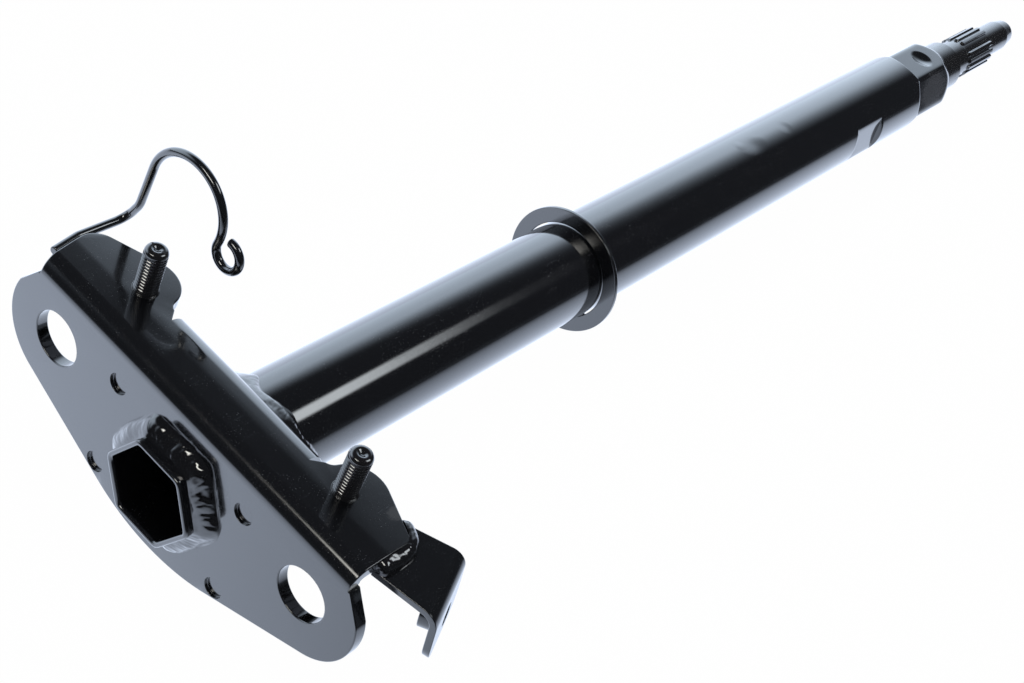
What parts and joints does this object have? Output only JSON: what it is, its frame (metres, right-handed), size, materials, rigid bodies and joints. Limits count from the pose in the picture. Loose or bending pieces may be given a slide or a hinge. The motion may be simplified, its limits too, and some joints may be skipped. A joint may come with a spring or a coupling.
{
  "type": "steering shaft",
  "caption": "Tubular steering shaft with a stamped handlebar plate at one end and a crimped splined stub at the other.",
  "frame": {"origin": "on the tube's axis, in the plane of the handlebar plate's front face", "axes": "+X along the tube from the plate to the spline, +Z the way the two studs point, +Y towards the cable guide"},
  "size_m": [0.627, 0.1769, 0.1067],
  "materials": {
    "black_paint": "glossy black powder coat",
    "weld_paint": "glossy black coat over a rippled weld bead",
    "wire_paint": "satin black coat",
    "stud_steel": "black coat over threads",
    "dark_steel": "black coat over turned and splined steel"
  },
  "bodies": {
    "root": {"post_tube": "black_paint", "splined_stub": "dark_steel", "handlebar_plate": "black_paint", "hex_weld": "weld_paint", "saddle_weld": "weld_paint", "stud_left": "stud_steel", "stud_right": "stud_steel", "stop_ring": "black_paint", "ring_weld": "weld_paint", "cable_guide": "wire_paint", "guide_weld": "weld_paint", "side_tab": "black_paint", "tab_nut": "stud_steel", "tab_weld": "weld_paint"}
  },
  "joints": []
}
